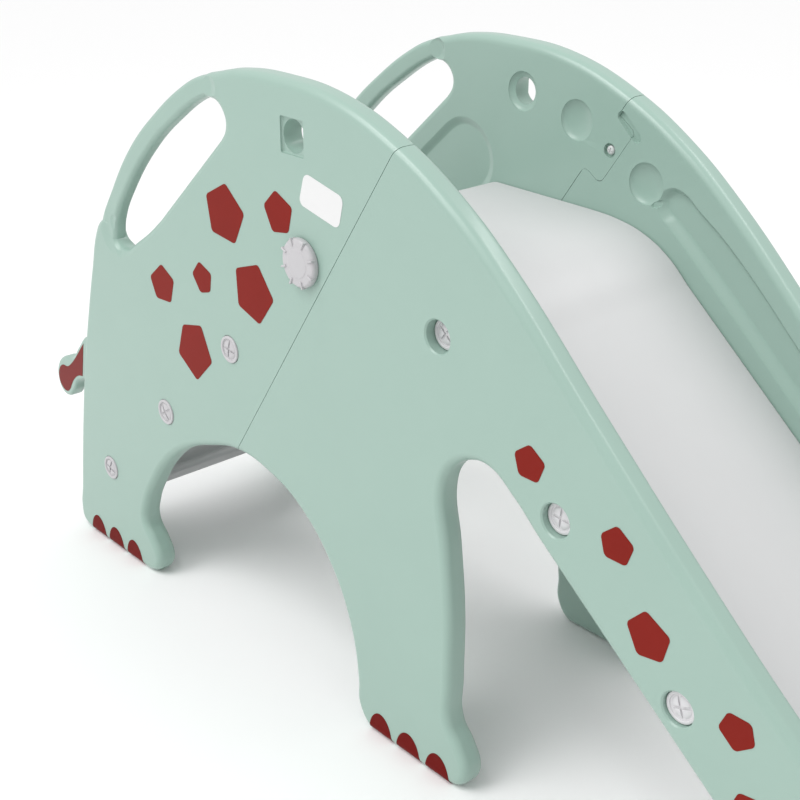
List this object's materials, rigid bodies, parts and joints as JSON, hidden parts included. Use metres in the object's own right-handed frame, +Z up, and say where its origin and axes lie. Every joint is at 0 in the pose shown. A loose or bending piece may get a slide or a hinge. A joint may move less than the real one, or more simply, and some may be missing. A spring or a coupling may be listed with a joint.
{
  "type": "toddler slide",
  "caption": "Small indoor toddler slide with two animal-shaped side panels, treads at the back, a straight chute and cut-out hand grips.",
  "frame": {"origin": "middle of the overall box, on the ground under the feet", "axes": "+X the way a child slides, from the tails to the lower end of the chute; +Y to the child's left, across the chute; +Z up from the ground"},
  "size_m": [1.6332, 0.4086, 0.754],
  "materials": {
    "mint_moulding": "satin blow-moulded",
    "pale_grey_moulding": "satin blow-moulded",
    "grey_moulding": "satin blow-moulded",
    "fastener_grey": "satin injection-moulded"
  },
  "bodies": {
    "frame": {"left_bed_bolt_1": "fastener_grey", "left_bed_bolt_2": "fastener_grey", "left_bed_bolt_3": "fastener_grey", "left_bed_bolt_4": "fastener_grey", "left_front_panel": "mint_moulding", "left_lap_screw": "fastener_grey", "left_lower_step_bolt": "fastener_grey", "left_middle_step_bolt": "fastener_grey", "left_rear_panel": "mint_moulding", "left_upper_step_bolt": "fastener_grey", "lower_step": "grey_moulding", "middle_step": "grey_moulding", "right_bed_bolt_1": "fastener_grey", "right_bed_bolt_2": "fastener_grey", "right_bed_bolt_3": "fastener_grey", "right_bed_bolt_4": "fastener_grey", "right_front_panel": "mint_moulding", "right_lap_screw": "fastener_grey", "right_lower_step_bolt": "fastener_grey", "right_middle_step_bolt": "fastener_grey", "right_rear_panel": "mint_moulding", "right_upper_step_bolt": "fastener_grey", "slide_bed": "pale_grey_moulding", "upper_step": "grey_moulding"},
    "right_knob": {"right_hand_knob": "fastener_grey"},
    "left_knob": {"left_hand_knob": "fastener_grey"}
  },
  "joints": [
    {"name": "right_knob_turn", "type": "hinge", "parent": "frame", "child": "right_knob", "pos_m": [-0.2045, -0.19, 0.56], "axis": [0, -1, 0], "continuous": true},
    {"name": "left_knob_turn", "type": "hinge", "parent": "frame", "child": "left_knob", "pos_m": [-0.2045, 0.19, 0.56], "axis": [0, 1, 0], "continuous": true}
  ]
}
